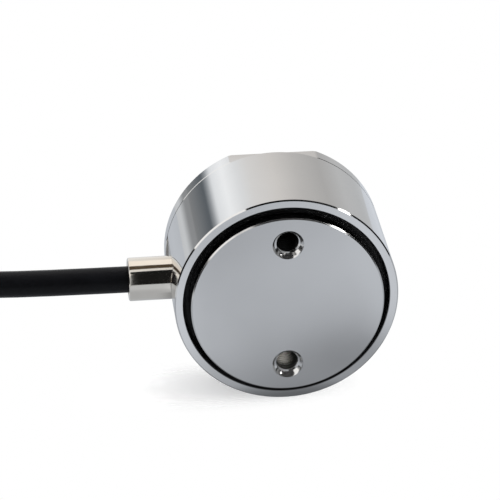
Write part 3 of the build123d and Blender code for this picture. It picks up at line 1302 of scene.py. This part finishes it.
class CELL_OT_studio(BuildOperator, bpy.types.Operator):
    """Floor, table, lamps, world and camera"""

    bl_idname = "cell.build_studio"
    bl_label = "Build Studio"

    def execute(self, context):
        level = context.scene.cell_finish.lamp_level
        self.surfaces()
        self.lamps(level)
        self.world(context)
        self.camera(context)
        context.scene.view_settings.view_transform = "Standard"
        return {"FINISHED"}

    def surfaces(self):
        sheet = flat_sheet(5.0, 5.0, (0, 0, -0.05 * MM))
        floor = stage_mesh("floor", sheet, one_sided_white("floor_paint", 0.35))
        hide_from(floor, "glossy", "shadow")

        fade = ((0.012, SIDE_TABLE_Y, 0.0092), 0.005, 0.037, 3.0)
        sheet = flat_sheet(0.17, 0.12, (0.010, SIDE_TABLE_Y, 0.030), upright=True)
        side = stage_mesh("side_table", sheet, one_sided_white("side_paint", 0.38, fade))
        hide_from(side, "glossy", "shadow", "diffuse")

        sheet = flat_sheet(0.44, 0.62, (-0.13, MIRRORED_TABLE_Y, -0.14), upright=True)
        only_in_reflections(stage_mesh("front_table", sheet, table_in_reflections()))

        bm = bmesh.new()
        spin_profile(bm, PANEL_PROFILE, steps=96, closed=False)
        only_in_reflections(stage_mesh("studio_panels", bm, studio_panel_material()))

        for name, (colour, strength, *arcs) in CARDS.items():
            bm = bmesh.new()
            for arc in arcs:
                arc_of_points(bm, *arc)
            mirrored_card(name, colour, strength, bm)

        bm = bmesh.new()
        arc_of_points(bm, *FERRULE_FLAG_ARC)
        turn_about(bm, bm.verts[:], 90, "Y")
        bmesh.ops.translate(bm, verts=bm.verts[:], vec=(0, 0, FITTING_HEIGHT * MM))
        mirrored_card("ferrule_flag", (1, 1, 1), 0.012, bm)

    def lamps(self, level):
        middle = (0.02, 0.0, 0.012)
        soft_lamp("overhead_lamp", (-0.16, 0.78, 0.26), middle, 0.5, 9.0 * level)
        soft_lamp("key_lamp", (-0.45, -0.55, 0.95), middle, 0.6, 9.0 * level)
        soft_lamp("fill_lamp", (-0.65, 0.35, 0.55), middle, 0.7, 3.0 * level)
        hole_lamp("hole_lamp", (0.029, 0.126, -0.263), (0, -0.0150, 0.001), 0.0062, 3.3 * level)
        for side, place, hole_y in (
            ("lower", (-0.0420, 0.0172, -0.0217), -0.0150),
            ("upper", (-0.0388, 0.0436, -0.0193), 0.0150),
        ):
            name = side + "_spark_lamp"
            spark = hole_lamp(name, place, (0, hole_y, 0), 0.012, 0.042 * level, 0.012)
            hide_from(spark, "diffuse")
            spark.visible_glossy = True

    def world(self, context):
        world = bpy.data.worlds.new("studio_world")
        world.use_nodes = True
        context.scene.world = world
        tree = world.node_tree
        tree.nodes.clear()
        white = (1, 1, 1)
        ambient = add_node(tree, "Background", in_Color=white, in_Strength=0.55)
        shown = add_node(tree, "Background", in_Color=white, in_Strength=1.0)
        sky = mixed_shader(tree, seen_rays(tree), ambient.outputs[0], shown.outputs[0])
        show(tree, sky, "World")

    def camera(self, context):
        azimuth, elevation, roll = (math.radians(v) for v in (168.26, -61.33, -13.53))
        distance, side, lift = 0.57446, -0.00842, 0.01221
        back = Vector(
            (
                math.sin(azimuth) * math.cos(elevation),
                -math.cos(azimuth) * math.cos(elevation),
                math.sin(elevation),
            )
        )
        level_right = Vector((math.cos(azimuth), math.sin(azimuth), 0))
        level_up = back.cross(level_right)
        right = level_right * math.cos(roll) + level_up * math.sin(roll)
        up = level_up * math.cos(roll) - level_right * math.sin(roll)
        eye = back * distance + right * side + up * lift
        data = bpy.data.cameras.new("photo_camera")
        data.sensor_width = 36.0
        data.lens = 187.2
        data.clip_start = 0.01
        data.clip_end = 20.0
        camera = in_scene("photo_camera", data)
        turn = Matrix((right, up, back)).transposed().to_4x4()
        camera.matrix_world = Matrix.Translation(eye) @ turn
        context.scene.camera = camera


class CELL_PT_panel(bpy.types.Panel):
    """Sizes, finishes and build steps of the load cell"""

    bl_label = "Load Cell"
    bl_idname = "CELL_PT_panel"
    bl_space_type = "VIEW_3D"
    bl_region_type = "UI"
    bl_category = "Load Cell"

    def draw(self, context):
        layout = self.layout
        for group in (context.scene.cell_sizes, context.scene.cell_finish):
            box = layout.box()
            for key in group.__annotations__:
                box.prop(group, key)
        for step in BUILD_STEPS:
            layout.operator(step.bl_idname)


BUILD_STEPS = (
    CELL_OT_core,
    CELL_OT_housing,
    CELL_OT_seal,
    CELL_OT_fitting,
    CELL_OT_cable,
    CELL_OT_inner_parts,
    CELL_OT_studio,
)
CLASSES = (CellSizes, CellFinish, *BUILD_STEPS, CELL_PT_panel)


def register():
    for cls in CLASSES:
        bpy.utils.register_class(cls)
    bpy.types.Scene.cell_sizes = bpy.props.PointerProperty(type=CellSizes)
    bpy.types.Scene.cell_finish = bpy.props.PointerProperty(type=CellFinish)


def unregister():
    del bpy.types.Scene.cell_finish
    del bpy.types.Scene.cell_sizes
    for cls in reversed(CLASSES):
        bpy.utils.unregister_class(cls)


def main():
    register()
    bpy.ops.cell.build_core()
    bpy.ops.cell.build_housing()
    bpy.ops.cell.build_seal()
    bpy.ops.cell.build_fitting()
    bpy.ops.cell.build_cable()
    bpy.ops.cell.finish_inner_parts()
    bpy.ops.cell.build_studio()


if __name__ == "__main__":
    main()
